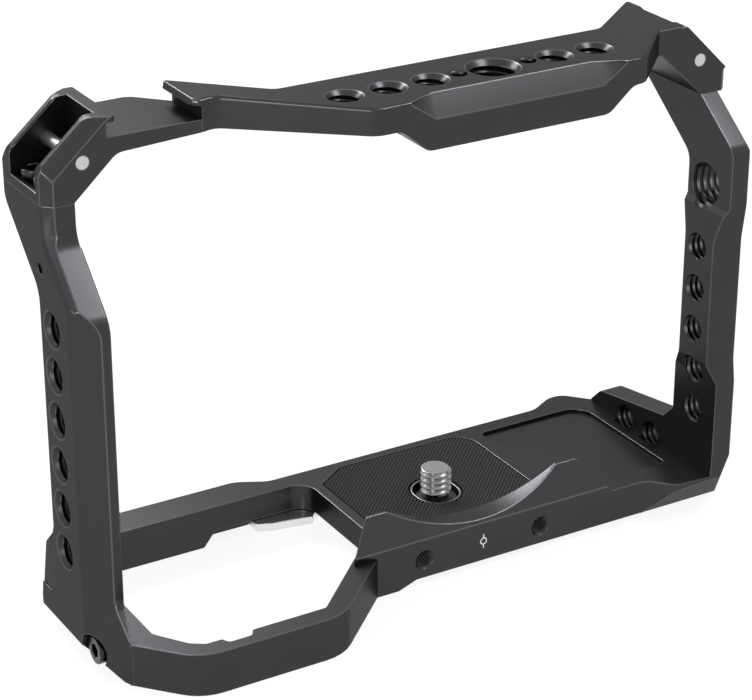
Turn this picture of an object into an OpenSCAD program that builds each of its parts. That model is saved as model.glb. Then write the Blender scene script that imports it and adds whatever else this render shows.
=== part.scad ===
// Camera cage: a machined frame that closes round a camera body.
// X runs across the cage, Y to the rear, Z up. Every place below is measured
// from the lens axis (X), the camera screw (Y) and the underside (Z).

/* [Cage] */
// Height from the underside to the top of the top bar
cage_h = 103.5; // [99:0.5:112]
// Lens axis to the outer face of the left upright
left_reach = 83.8; // [80:0.1:90]
// Lens axis to the outer face of the right upright
right_reach = 58.4; // [55.5:0.1:64]
// Camera screw back to the rear edge of the base
rear_reach = 24; // [22.5:0.1:27]
// Camera screw forward to the front of the grip loop
grip_reach = 33.5; // [30:0.1:38]

/* [Base] */
// Thickness of the base and of the rails round the grip opening
base_t = 8.8; // [8:0.1:11]
// Camera screw forward to the front face of the base
base_front = 18.5; // [17.5:0.1:20]
// Camera screw back to the waisted rear edge
base_back = 20.8; // [19.8:0.1:22]
// Lens axis to the right side of the grip opening
window_right = 20.85; // [19.8:0.05:22]
// Width of the left side rail
side_rail_w = 5.15; // [4.4:0.05:7]
// Width of the rear rail
rear_rail_w = 7.6; // [6.5:0.1:9]
// Width of the front bar of the grip loop
grip_bar_w = 4.2; // [3.5:0.1:6]
// Height of the chamfer along the front underside
belly_h = 1.5; // [0.8:0.1:2.5]
// Camera screw forward to the front of the right heel
heel_front = 23.9; // [22:0.1:26]
// Depth of the shallow pocket in the top of the base
pocket_depth = 0.7; // [0.4:0.1:1.2]

/* [Front lip] */
// Height of the lip above the base
lip_h = 7; // [5:0.1:9]
// Distance that the front of the lip leans back
lip_lean = 4.5; // [3:0.1:4.8]
// Flat along the top of the lip
lip_flat = 0.6; // [0.4:0.1:1.2]
// Radius of the arc that clears the lens
lens_r = 41.5; // [37:0.5:48]
// Height of the lip above the base at the lens axis
lip_mid = 1.9; // [1.2:0.1:2.6]

/* [Camera seat] */
// Width of the rubber pad
pad_w = 37.1; // [33:0.1:39]
// Camera screw back to the rear edge of the pad
pad_back = 18.45; // [16:0.05:18.8]
// Thickness of the rubber pad
pad_t = 1; // [0.8:0.1:1.4]
// Pad above the top of the base
pad_proud = 0.1; // [0:0.05:0.3]
// Width of the screw slot
slot_w = 8.8; // [8.2:0.1:10]
// Length of the screw slot, front to back
slot_l = 10.1; // [9.6:0.1:12]
// Diameter of the camera screw over its thread
screw_d = 6.35; // [6:0.05:6.5]
// Thread that stands above the seat
screw_reach = 5.1; // [4:0.1:6]
// Diameter of the camera screw's head
screw_head_d = 11; // [10:0.1:12.5]
// Thickness of the camera screw's head
screw_head_t = 2.2; // [1.8:0.1:2.6]
// Diameter of the neck that the retaining ring turns on
screw_neck_d = 5; // [4.2:0.1:5.4]
// Thickness of the retaining ring
ring_t = 1.5; // [1:0.1:1.8]

/* [Left upright] */
// Thickness of the left upright
left_t = 5.95; // [5.4:0.05:8]
// Outer face of the upright to the seam with the base
left_seam = 4.5; // [4.1:0.1:5.2]
// Camera screw forward to the front of the upright
left_front = 17.5; // [16:0.1:19]
// Camera screw forward to the rear edge of the upright
left_rear = 0.3; // [0:0.1:1.5]
// Chamfer along the lower front edge
left_chamfer = 4.1; // [3:0.1:4.2]
// Chamfer along the upper front edge
edge_chamfer = 1.9; // [1.2:0.1:2.4]
// Height of the lowest threaded hole
left_hole_z = 20.9; // [19:0.1:23]
// Thickness of the strip that lines the upright
liner_t = 0.3; // [0.2:0.05:0.8]

/* [Right upright] */
// Thickness of the right upright at its foot
right_t = 6.55; // [6:0.05:8]
// Added thickness of its narrow middle
waist_extra = 0.95; // [0.5:0.05:1.5]
// Height of the lowest threaded hole
right_hole_z = 21.8; // [20:0.1:24]
// Height of the low wall where it meets the upright
wall_h = 16; // [14:0.1:18]
// Height of the low wall at its rear end
wall_low = 12.4; // [12:0.1:13.5]

/* [Top] */
// Thickness of the top bar
bar_t = 5.2; // [4.6:0.1:6.4]
// Camera screw forward to the front face of the top bar
bar_front = 25.4; // [24:0.1:28]
// Front-to-back width of the top bar
bar_w = 18.9; // [17:0.1:21]
// Depth of the thick middle of the bar below its underside
keel_h = 4.7; // [3:0.1:6]
// Camera screw forward to the row of threaded holes
top_row = 16; // [15:0.1:17]
// Lens axis to the middle hole of the row
top_mid = 1.65; // [0:0.05:3]
// Gap between the side walls of the accessory shoe
shoe_w = 18.6; // [18.4:0.05:18.8]
// Height of the slot under the shoe lips
shoe_slot = 2.5; // [2.1:0.05:2.7]
// Thickness of the shoe lips
shoe_lip = 1.2; // [1:0.1:1.6]
// Thickness of the shoe floor
shoe_floor_t = 3.3; // [2.4:0.1:4]
// Outer face of the left upright to the left wall of the shoe
shoe_left = 12.55; // [12:0.05:13.5]
// Height of the two corner blocks
corner_h = 14.7; // [14:0.1:16]
// Front-to-back width of the strap pockets
strap_w = 11.2; // [11.1:0.1:12]
// Diameter of the strap pins
strap_pin_d = 2.6; // [2.5:0.1:4]

/* [Holes] */
// Distance between neighbouring threaded holes
pitch = 9; // [8:0.1:9.5]
// Diameter of the quarter-inch threaded holes
quarter_d = 5.2; // [5:0.05:6.35]
// Diameter of the three-eighths threaded holes
eighths_d = 8.1; // [7.9:0.05:9.5]
// Countersink of the quarter-inch holes
quarter_sink = 7.1; // [6.6:0.1:7.6]
// Countersink of the three-eighths holes
eighths_sink = 10.4; // [9.8:0.1:11]
// Diameter of the small threaded holes in the front face
front_d = 3.3; // [2.9:0.1:4.2]
// Countersink of those holes
front_sink = 4.3; // [4.2:0.1:5]
// Diameter of the small accessory hole
small_d = 2.1; // [1.8:0.1:2.5]
// Diameter of the locating holes beside the middle hole
locate_d = 3.4; // [3:0.1:3.8]
// Depth of the locating holes
locate_depth = 4; // [3:0.1:5]

/* [Fasteners and tool] */
// Diameter of the small clamping screws
bolt_d = 3; // [2.5:0.1:3]
// Diameter of their heads
bolt_head_d = 5.4; // [4.5:0.1:5.5]
// Height of the upright heads in the strap pocket
bolt_head_h = 2.4; // [2:0.1:3]
// Height of the low head at the foot
foot_head_h = 2.1; // [1.6:0.1:2.4]
// Thickness of the flat tool
tool_t = 1.8; // [1.4:0.1:2]
// Length of the flat tool
tool_l = 52; // [46:0.5:56]
// Front-to-back width of the tool's grip
tool_w = 7; // [6:0.1:7.2]
// Diameter of the magnets that hold the tool
magnet_d = 4; // [3:0.1:5]
// Thickness of the magnets
magnet_t = 1.5; // [1:0.1:2]

/* [Hidden] */
$fn = 48;

// Colours
metal = "#4a4a4c";
metal_left = "#5a5b5d";
rubber = "#232323";
steel = "#b9bbbd";

// Clearances and shared small sizes
over = 0.5;          // every cut runs this far past its solid
run_gap = 0.05;      // between a turning neck and its bore, on the radius
slide_gap = 0.1;     // between a sliding piece and its guide
pad_gap = 0.25;      // round the rubber pad
tool_gap = 0.1;      // between the tool and the roof of its recess
tiny_r = 0.5;        // corner radii, small to wide
small_r = 1;
blend_r = 2;
soft_r = 3;
wide_r = 4;
broad_r = 5;
screw_x = 0.25;      // camera screw, right of the lens axis
arc_step = 12;       // degrees of a corner arc per edge
blank = 3 * cage_h;  // edge of the block that a plane cuts with

// Planes that several pieces share
outer_left = -left_reach;
seam_left = outer_left + left_seam;
window_left = seam_left + side_rail_w;
inner_left = outer_left + left_t;
inner_right = right_reach - right_t;
window_back = rear_reach - rear_rail_w;
seam_z = cage_h - corner_h;
frame_shift = [(left_reach - right_reach) / 2, (grip_reach - rear_reach) / 2, 0];

// ---------- helpers ----------
function unit(v) = v / norm(v);
function flat(p) = [p[0], p[1]];
// An arc that touches both edges of one corner; its radius is limited by them
function corner(a, b, c) =
    let (u = unit(flat(a) - flat(b)), w = unit(flat(c) - flat(b)), dot = u * w)
    b[2] == 0 || abs(dot) > 0.9995 ? [flat(b)] :
    let (half = acos(dot) / 2,
        run = min(b[2] / tan(half), norm(flat(a) - flat(b)) * 0.48, norm(flat(c) - flat(b)) * 0.48),
        r = run * tan(half), mid = flat(b) + unit(u + w) * r / sin(half),
        s = flat(b) + u * run - mid, e = flat(b) + w * run - mid,
        from = atan2(s[1], s[0]), raw = atan2(e[1], e[0]) - from,
        turn = raw > 180 ? raw - 360 : raw < -180 ? raw + 360 : raw,
        n = max(2, ceil(abs(turn) / arc_step)))
    [for (i = [0:n]) mid + r * [cos(from + turn * i / n), sin(from + turn * i / n)]];
// Outline whose points are [x, y, corner radius]
function rounded(pts) = [for (i = [0:len(pts) - 1])
    each corner(pts[(i + len(pts) - 1) % len(pts)], pts[i], pts[(i + 1) % len(pts)])];

module outline(pts) polygon(rounded(pts));
// Everything on the far side of the plane through p with outward normal n
module beyond(p, n) translate(p) rotate([0, acos(n[2] / norm(n)), atan2(n[1], n[0])])
    translate([-blank / 2, -blank / 2, 0]) cube(blank);
// The same, for the plane through three points taken anticlockwise from outside
module beyond3(a, b, c) beyond(a, cross(b - a, c - a));
// Solid between two heights from a plan outline
module plan(z0, z1) translate([0, 0, z0]) linear_extrude(z1 - z0) children();
// Solid between two Y places from an XZ outline
module front(y0, y1) translate([0, y1, 0]) rotate([90, 0, 0]) linear_extrude(y1 - y0) children();
// Solid between two X places from a YZ outline
module side(x0, x1) translate([x0, 0, 0]) rotate([90, 0, 90]) linear_extrude(x1 - x0) children();
// Block between two opposite corners
module block(a, b) translate(a) cube(b - a);
// Hole along +Z from the origin, with a countersink at its mouth
module bored(d, sink, depth, past) {
    translate([0, 0, -over]) cylinder(d = d, h = depth + over + past);
    if (sink > 0) {
        cylinder(d1 = sink, d2 = d, h = (sink - d) / 2);
        translate([0, 0, -over]) cylinder(d = sink, h = over);
    }
}
// The same hole, entered along a direction from a point
module bore_from(p, dir, d, sink, depth, past = over) translate(p)
    rotate([0, acos(dir[2] / norm(dir)), atan2(dir[1], dir[0])]) bored(d, sink, depth, past);
// Slot outline with round ends, long way front to back
module oblong(w, l, h) {
    for (s = [-1, 1]) translate([0, s * (l - w) / 2, 0]) cylinder(d = w, h = h);
    translate([-w / 2, -(l - w) / 2, 0]) cube([w, l - w, h]);
}
module placed() translate(frame_shift) children();

// ---------- plan of the base and the grip loop ----------
// Outer contour, from the rear left corner round to the arm
loop_l = -seam_left - window_right;
loop_d = grip_reach + window_back;
// [share along the loop from its seam, share of its depth from the front, corner share]
loop_outer_shares = [[0, 0.21, 0], [0.157, 0, 0.16], [0.666, 0, 0.17], [0.939, 0.3006, 0]];
opening_shares = [[0, 0.242, 0.04], [0.081, 0.116, 0.04], [0.13, 0.081, 0.02], [0.192, 0.081, 0.012],
    [0.202, 0.05, 0.02], [0.292, 0.05, 0.02], [0.31, 0.083, 0.01], [0.602, 0.084, 0.02], [1, 0.485, 0]];
opening_l = -window_left - window_right;
rail_corner = 5.3;    // cut across the rear left corner, along X
rail_corner_run = 8.5; // and along Y
step_left = 33.6;     // where the rear rail starts to narrow, left of the lens axis
step_run = 6.2;
step_r = 5;
bump_start = 38.3;    // rear bump, right of the lens axis
bump_left = 44;
bump_right = 47.4;
wall_back = 19;       // rear end of the low right wall
heel_left = 39.4;     // where the front edge starts to flare
heel_run = 4.4;
heel_r = 3.5;
window_r = 4;

function loop_pt(s) = [seam_left + s[0] * loop_l, -grip_reach + s[1] * loop_d, s[2] * loop_l];
function opening_pt(s) = [window_left + s[0] * opening_l, -grip_reach + s[1] * loop_d, s[2] * opening_l];
arm_out = loop_pt(loop_outer_shares[3]);

module base_outline() outline(concat(
    [[seam_left, rear_reach - rail_corner_run, 0],
     [seam_left, -grip_reach + loop_outer_shares[0][1] * loop_d, 0]],
    [for (i = [1:2]) loop_pt(loop_outer_shares[i])],
    [[arm_out[0], -base_front, 0],
     [heel_left, -base_front, heel_r],
     [heel_left + heel_run, -heel_front + belly_h / 2, heel_r],
     [inner_right, -heel_front, 0],
     [inner_right, wall_back, 0],
     [bump_right, rear_reach, 1.5 * step_r / 2],
     [bump_left, rear_reach, step_r],
     [bump_start, base_back, step_r],
     [-step_left + step_run, base_back, step_r],
     [-step_left, rear_reach, step_r],
     [seam_left + rail_corner, rear_reach, step_r / 2]]));
module opening_outline() outline(concat(
    [for (s = opening_shares) opening_pt(s)],
    [[-window_right, window_back, window_r], [window_left, window_back, window_r]]));
module base_ring() difference() { base_outline(); opening_outline(); }

// Chamfer along the whole front underside, at one slope
belly_slope = 1.22;   // rise per unit forward under the heel
belly_rise = 0.45;    // and behind the front face
belly_left = 19.6;    // it fades out left of the lens axis
belly_run = 4.2;      // over this length
module belly() {
    beyond([0, -base_front, belly_h], [0, -belly_slope, -1]);
    beyond([0, -base_front, belly_h], [0, -belly_rise, -1]);
}

// ---------- recess for the tool ----------
recess_roof = 3.3;
recess_left = 44.5;   // left end of the recess at the underside
recess_ramp = 3;      // run of its sloping left end
recess_front = 11.2;
recess_back = 19.3;
scoop_run = 3.5;      // finger scoop beside the recess, open to the grip opening
scoop_front = 3;
rail_recess_back = 20.5;
tool_end = 33.4;      // left end of the tool, left of the lens axis
module tool_recess() {
    intersection() {
        plan(-over, recess_roof) outline([
            [-recess_left, window_back - window_r, 0],
            [-recess_left, rail_recess_back, 0],
            [-step_left + step_run / 2, rail_recess_back, 0],
            [-step_left + step_run, recess_back, 0],
            [tool_l - tool_end + tool_gap + magnet_t, recess_back, small_r],
            [tool_l - tool_end + tool_gap + magnet_t, recess_front, small_r],
            [-window_right + scoop_run * 2, recess_front, blend_r],
            [-window_right + scoop_run, -scoop_front, soft_r],
            [-window_right - over, -scoop_front - scoop_run / 2, 0],
            [-window_right - over, window_back - window_r, 0]]);
        front(-base_front, rear_reach) polygon([
            [-recess_left, -over], [-recess_left, 0], [-recess_left + recess_ramp, recess_roof + over],
            [base_front + rear_reach, recess_roof + over], [base_front + rear_reach, -over]]);
    }
}
tool_y = recess_back - tool_gap * 3 - tool_w / 2;
magnet_x = [-window_right + magnet_d * 1.5, -magnet_d];
magnet_back = 0.7;    // magnets behind the middle of the tool
module magnets(extra) for (x = magnet_x) translate([x, tool_y + magnet_back, recess_roof])
    cylinder(d = magnet_d, h = magnet_t + extra);

// ---------- camera seat ----------
pad_x = 0.3;          // middle of the pad, right of the lens axis
pad_cut = 6.8;        // its cut rear left corner, along X
pad_cut_run = 4.6;    // and along Y
rim_t = 0.5;          // wall of the rim round the screw slot
rim_gap = 0.4;        // pad opening outside the rim
web_t = 2.2;          // web between the ring and the head
web_z = 3.6;          // underside of the web
lip_back = base_front - lip_lean - lip_flat;
module pad_shape(grow) outline([
    [pad_x - pad_w / 2 - grow, -lip_back, 0],
    [pad_x + pad_w / 2 + grow, -lip_back, 0],
    [pad_x + pad_w / 2 + grow, pad_back + grow, broad_r],
    [pad_x - pad_w / 2 + pad_cut - grow / 2, pad_back + grow, small_r],
    [pad_x - pad_w / 2 - grow, pad_back - pad_cut_run + grow / 2, small_r]]);
module at_screw() translate([screw_x, 0, 0]) children();
module ring_shape(h) at_screw() oblong(slot_w + 2 * rim_t, slot_l + 2 * rim_t, h);

// Shallow pocket in the top of the base
pocket_left = 22;
pocket_right = 48;
pocket_front = 13.8;
pocket_back = 17.2;
pocket_r = 3;

// Threaded holes in the front face
front_hole_x = 13.65;
front_hole_z = 5.4;
front_hole_depth = 8;
// Threaded holes through the low right wall
wall_hole_y = [-3.3, 5.8];
wall_hole_z = 9.9;
relief_run = 1.2;

module base_plate() color(metal) placed() difference() {
    union() {
        difference() {
            intersection() {
                plan(0, base_t) base_ring();
                block([-window_right, -grip_reach, -over], [inner_right, rear_reach + over, base_t + over]);
            }
            translate([0, 0, base_t - pad_t]) linear_extrude(pad_t + over) pad_shape(pad_gap);
        }
        translate([0, 0, base_t - pad_t - over]) ring_shape(pad_t + over - pad_gap / 2);
    }
    // slot for the camera screw: ring, shank and head
    at_screw() {
        translate([0, 0, web_z + web_t]) oblong(slot_w, slot_l, base_t);
        translate([0, 0, -over]) oblong(screw_d + 2 * rim_t, slot_l - slot_w + screw_d + 2 * rim_t, base_t);
        translate([0, 0, -over]) oblong(screw_head_d + 2 * rim_t, slot_l - slot_w + screw_head_d + 2 * rim_t, web_z + over);
    }
    plan(base_t - pocket_depth, base_t + over) outline([
        [pocket_left, -pocket_front, pocket_r], [pocket_right, -pocket_front, pocket_r / 2],
        [pocket_right, pocket_back, pocket_r * 1.5], [pocket_left, pocket_back, pocket_r / 2]]);
    tool_recess();
    magnets(0);
    for (s = [-1, 1]) bore_from([s * front_hole_x, -base_front, front_hole_z], [0, 1, 0],
        front_d, front_sink, front_hole_depth, 0);
    for (y = wall_hole_y) bore_from([inner_right - relief_run, y, wall_hole_z], [1, 0, 0],
        quarter_d, 0, relief_run);
    intersection() {
        belly();
        beyond([-belly_left, 0, 0], [belly_h, 0, -belly_run]);
    }
}

// ---------- front lip ----------
lip_step = 1.2;       // upright part of its front face
lip_foot_left = 29.8; // foot, left of the lens axis
lip_top_left = 24.55;
lip_top_right = 25.25;
lip_foot_right = 31.2;
lip_end_run = 4.5;    // its left end turns in by this much, front to back
module front_lip() color(metal) placed() difference() {
    front(-base_front, -lip_back) outline([
        [-lip_foot_left - over, base_t, 0], [lip_foot_right, base_t, 0],
        [lip_top_right, base_t + lip_h, lip_lean / 3], [-lip_top_left - over, base_t + lip_h, 0]]);
    beyond([0, -base_front, base_t + lip_step], [0, -(lip_h - lip_step), lip_lean]);
    translate([0, 0, base_t + lip_mid + lens_r]) rotate([90, 0, 0])
        cylinder(r = lens_r, h = 3 * base_front, center = true, $fn = 180);
    // the left end follows the inner edge of the arm
    beyond3([-lip_foot_left, -base_front, base_t],
        [-lip_top_left, -base_front + lip_lean, base_t + lip_h],
        [-lip_foot_left + lip_end_run, -lip_back, base_t]);
}

// ---------- grip loop ----------
arm_left = 42;        // where the arm meets the front bar
rail_front = grip_reach - opening_shares[0][1] * loop_d;
module grip_arm() color(metal) placed() intersection() {
    plan(0, base_t) base_ring();
    block([-arm_left, -grip_reach - over, -over], [-window_right, opening_pt(opening_shares[8])[1], base_t + over]);
}
module grip_front() color(metal) placed() intersection() {
    plan(0, base_t) base_ring();
    block([outer_left, -grip_reach - over, -over], [-arm_left, -rail_front, base_t + over]);
}
module side_rail() color(metal) placed() difference() {
    intersection() {
        plan(0, base_t) base_ring();
        block([outer_left, -rail_front, -over], [window_left, rear_reach + over, base_t + over]);
    }
    foot_bolt_hole();
}
module rear_rail() color(metal) placed() difference() {
    intersection() {
        plan(0, base_t) base_ring();
        block([window_left, window_back - window_r, -over], [-window_right, rear_reach + over, base_t + over]);
    }
    tool_recess();
    magnets(0);
}

// ---------- left upright ----------
flare_in = 4;         // the flare leaves the inner face this far behind the front
flare_z = 14.3;       // height where the foot starts to flare forward
sole_chamfer = 3.8;   // chamfer along the outer bottom edge
foot_rear = 7.1;      // rear edge of the foot
foot_heel_z = 5.6;
foot_corner = 12.5;   // where the foot's front corner leaves the outer face
gusset_top = 23;
gusset_mid = 18.7;
gusset_mid_y = 4.2;
gusset_foot_y = 6.6;
gusset_slope = 0.04;  // the gusset's outer face turns in by this much
block_front = 5;      // front face of the strap block
block_rear = 13.2;
bend_r = 6;
front_bend_drop = 6.4; // top of the slanted front, below the seam
rear_bend_drop = 3.6;  // top of the slanted rear, below the seam
front_bend = seam_z - front_bend_drop;
rear_bend = seam_z - rear_bend_drop;
foot_bolt_y = -14;
foot_bolt_z = 3.9;
foot_sink_d = 6.6;    // counterbore of the foot screw
foot_bolt_face = 1.1; // face of its head inside the outer face
foot_bolt_l = 5.4;    // from the seat of its head to its end
small_hole_y = -1.5;
small_hole_drop = 12.4;
left_row = 5.2;       // row of threaded holes, ahead of the camera screw
left_count = floor((front_bend - (left_front - block_front) - left_hole_z) / pitch) + 1;
liner_low = 12;
liner_drop = 8.1;     // its top edge below the seam
liner_inset = 0.6;

function upright_side(low) = [
    [-left_front - (flare_z - base_t), low, 0], [foot_rear, low, blend_r], [foot_rear, low + foot_heel_z, small_r],
    [gusset_foot_y, base_t, small_r], [gusset_mid_y, gusset_mid, blend_r], [-left_rear, gusset_top, blend_r],
    [-left_rear, rear_bend - block_rear - left_rear, bend_r], [block_rear, rear_bend, bend_r],
    [block_rear, seam_z, 0], [-block_front, seam_z, 0], [-block_front, front_bend, bend_r],
    [-left_front, front_bend - (left_front - block_front), bend_r], [-left_front, flare_z, bend_r / 2],
    [-left_front - (flare_z - base_t), base_t, 0]];
module foot_bolt_hole() {
    bore_from([outer_left + foot_bolt_face + foot_head_h, foot_bolt_y, foot_bolt_z], [1, 0, 0],
        bolt_d + 2 * run_gap, 0, foot_bolt_l, run_gap);
    translate([outer_left - over, foot_bolt_y, foot_bolt_z]) rotate([0, 90, 0])
        cylinder(d = foot_sink_d, h = foot_bolt_face + foot_head_h + over);
}
// Upright part of the frame behind the seams: front profile of the upright
module left_upright() color(metal_left) placed() difference() {
    intersection() {
        side(outer_left, inner_left) outline(upright_side(0));
        front(-grip_reach, rear_reach) polygon([
            [outer_left, sole_chamfer], [outer_left + sole_chamfer, 0], [seam_left, 0],
            [seam_left, base_t], [inner_left, base_t], [inner_left, seam_z], [outer_left, seam_z]]);
    }
    // plan of the foot
    beyond([outer_left, -foot_corner, 0],
        [-((grip_reach - loop_outer_shares[0][1] * loop_d) - foot_corner), -left_seam, 0]);
    // inner side of the flare, above the seam with the loop
    intersection() {
        beyond3([inner_left, -left_front, flare_z], [seam_left, -left_front - (flare_z - base_t), base_t],
            [inner_left, -left_front + flare_in, base_t]);
        block([outer_left, -grip_reach, base_t], [inner_left + over, block_rear, blank]);
    }
    // lower chamfer, which flares with the foot
    intersection() {
        beyond([outer_left, -left_front + left_chamfer, 0], [-1, -1, 0]);
        beyond3([outer_left + left_chamfer, -left_front, flare_z], [outer_left, -left_front + left_chamfer, base_t],
            [seam_left, -left_front - (flare_z - base_t), base_t]);
    }
    // upper chamfer, along the slant and above it
    intersection() {
        beyond([outer_left, -block_front + edge_chamfer, front_bend], [-sqrt(2), -1, 1]);
        beyond([outer_left, -block_front + edge_chamfer, front_bend], [-1, -1, 0]);
    }
    // slanted outer face of the gusset
    intersection() {
        beyond([outer_left, -left_rear, 0], [-1, gusset_slope, 0]);
        block([outer_left - over, -left_rear - over, base_t], [inner_left, block_rear, gusset_top + over]);
    }
    for (k = [0:left_count - 1]) bore_from([outer_left, -left_row, left_hole_z + k * pitch], [1, 0, 0],
        quarter_d, quarter_sink, left_t);
    bore_from([outer_left, small_hole_y, seam_z - small_hole_drop], [1, 0, 0], small_d, 0, left_t);
    foot_bolt_hole();
    for (y = bolt_y) bore_from([bolt_x, y, seam_z], [0, 0, -1], bolt_d + 2 * run_gap, 0, bolt_l);
}
module upright_liner() color(rubber) placed() difference() {
    side(inner_left, inner_left + liner_t) outline([
        [-left_front + liner_inset, liner_low, 0], [-left_rear - liner_inset, liner_low, 0],
        [-left_rear - liner_inset, rear_bend - block_rear - left_rear, bend_r],
        [seam_z - liner_drop - (rear_bend - block_rear) - liner_inset * 2, seam_z - liner_drop, 0],
        [-block_front - (front_bend - seam_z + liner_drop) + liner_inset, seam_z - liner_drop, 0],
        [-left_front + liner_inset, front_bend - (left_front - block_front), bend_r]]);
    for (k = [0:left_count - 1]) bore_from([inner_left, -left_row, left_hole_z + k * pitch], [1, 0, 0],
        quarter_sink, 0, liner_t);
    bore_from([inner_left, small_hole_y, seam_z - small_hole_drop], [1, 0, 0], small_d + 2 * liner_inset, 0, liner_t);
}

// ---------- strap block and shoe ----------
slope_low = 8.3;      // outer slant, below the top of the cage
slope_run = 9.4;      // and its run along X
slope_n = unit([-slope_low, slope_run]);
slope_edge = 1.7;     // chamfer along its front edge, on the slant
slope_edge_low = 2.6; // and on the front face
rear_edge = 2;        // chamfer along its rear edge
slant_run = 7.2;      // inner slant below the block, along X
slant_rise = 6.6;
block_wall = 1;       // outer wall of the strap pocket
pocket_floor = 1.1;   // floor of the strap pocket above the seam
pocket_rim = 1.9;     // outer rim above the seam
cheek = (block_front + block_rear - strap_w) / 2;
shoe_l_wall = outer_left + shoe_left;
shoe_r_wall = shoe_l_wall + shoe_w;
notch_run = 2.8;      // from the right wall of the shoe to the notch beside it
lip_overhang = 1.8;   // reach of both lips over the slot
pocket_stop = 0.95;   // inner wall of the pocket left of the shoe wall
pin_in = 7.7;         // strap pin inside the outer face
pin_drop = 7.55;      // and below the top
bolt_x = outer_left + block_wall + bolt_head_d / 2 + slide_gap;
bolt_mid = (block_rear - block_front) / 2;
bolt_y = [for (s = [-1, 1]) bolt_mid + s * (bolt_head_d / 2 + slide_gap)];
bolt_l = 8;
slant_wall = 1.6;     // wall under the pocket's slanted floor
slant_wall_z = slant_wall * norm([slant_run, slant_rise]) / slant_run;
shoe_top = cage_h - shoe_lip - shoe_slot;

// Height of the inner slant at a distance in from the inner face
function slant_z(d) = seam_z + d * slant_rise / slant_run;
// Underside of the shoe and the bar, from the slant to the bar's knee
under_low = shoe_top - shoe_floor_t;
under_x = inner_left + (under_low - seam_z) * slant_run / slant_rise;
function under_z(x) = under_low + (cage_h - bar_t - under_low) * (x - under_x) / (-bar_knee - under_x);

module strap_block() color(metal) placed() difference() {
    union() {
        front(-block_front, block_rear) outline([
            [outer_left, seam_z, 0], [inner_left, seam_z, small_r], [shoe_l_wall, slant_z(shoe_l_wall - inner_left), 0],
            [shoe_l_wall, cage_h, 0], [outer_left + slope_run, cage_h, soft_r], [outer_left, cage_h - slope_low, soft_r]]);
        plan(cage_h - shoe_lip, cage_h) outline([
            [shoe_l_wall, -block_front, 0], [shoe_l_wall + lip_overhang, -block_front, blend_r],
            [shoe_l_wall + lip_overhang, block_rear, tiny_r], [shoe_l_wall, block_rear, 0]]);
    }
    // pocket for the strap
    front(-block_front + cheek, block_rear - cheek) polygon([
        [outer_left + block_wall, seam_z + pocket_floor], [bolt_x + bolt_head_d / 2 + 2 * slide_gap, seam_z + pocket_floor],
        [bolt_x + bolt_head_d / 2 + 2 * slide_gap,
            slant_z(bolt_x + bolt_head_d / 2 + 2 * slide_gap - inner_left) + slant_wall_z],
        [shoe_l_wall - pocket_stop, slant_z(shoe_l_wall - pocket_stop - inner_left) + slant_wall_z],
        [shoe_l_wall - pocket_stop, cage_h + over],
        [outer_left - over, cage_h + over], [outer_left - over, seam_z + pocket_rim],
        [outer_left + block_wall, seam_z + pocket_rim]]);
    // chamfers of the front and rear edges
    beyond([outer_left, -block_front + edge_chamfer, 0], [-1, -1, 0]);
    beyond([outer_left, -block_front + slope_edge, cage_h - slope_low],
        [slope_edge * slope_n[0], -slope_edge_low, slope_edge * slope_n[1]]);
    beyond([outer_left, block_rear - rear_edge, cage_h - slope_low], [slope_n[0], 1, slope_n[1]]);
    strap_pin(1, outer_left + pin_in, -block_front - over, block_rear - slide_gap);
    for (y = bolt_y) bore_from([bolt_x, y, seam_z + pocket_floor], [0, 0, -1], bolt_d + 2 * run_gap, 0, pocket_floor);
}
module strap_pin(grow, x, y0, y1) translate([x, y1, cage_h - pin_drop]) rotate([90, 0, 0])
    cylinder(d = strap_pin_d, h = y1 - y0);

shoe_tail_shares = [[0.36, 1, 0.15], [0.67, 1.005, 0.2], [1, 0.645, 0]];
module shoe_floor() color(metal) placed() intersection() {
    front(-block_front, block_rear) outline([
        [shoe_l_wall, slant_z(shoe_l_wall - inner_left), 0],
        [under_x, under_low, wide_r], [shoe_r_wall, under_z(shoe_r_wall), 0], [shoe_r_wall, shoe_top, 0], [shoe_l_wall, shoe_top, 0]]);
    plan(0, cage_h) outline(concat([[shoe_l_wall, -block_front, 0], [shoe_r_wall, -block_front, 0]],
        [for (i = [2, 1, 0]) [shoe_l_wall + shoe_tail_shares[i][0] * shoe_w,
            -block_front + shoe_tail_shares[i][1] * (block_front + block_rear), shoe_tail_shares[i][2] * shoe_w]],
        [[shoe_l_wall, block_rear, 0]]));
}

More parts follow.
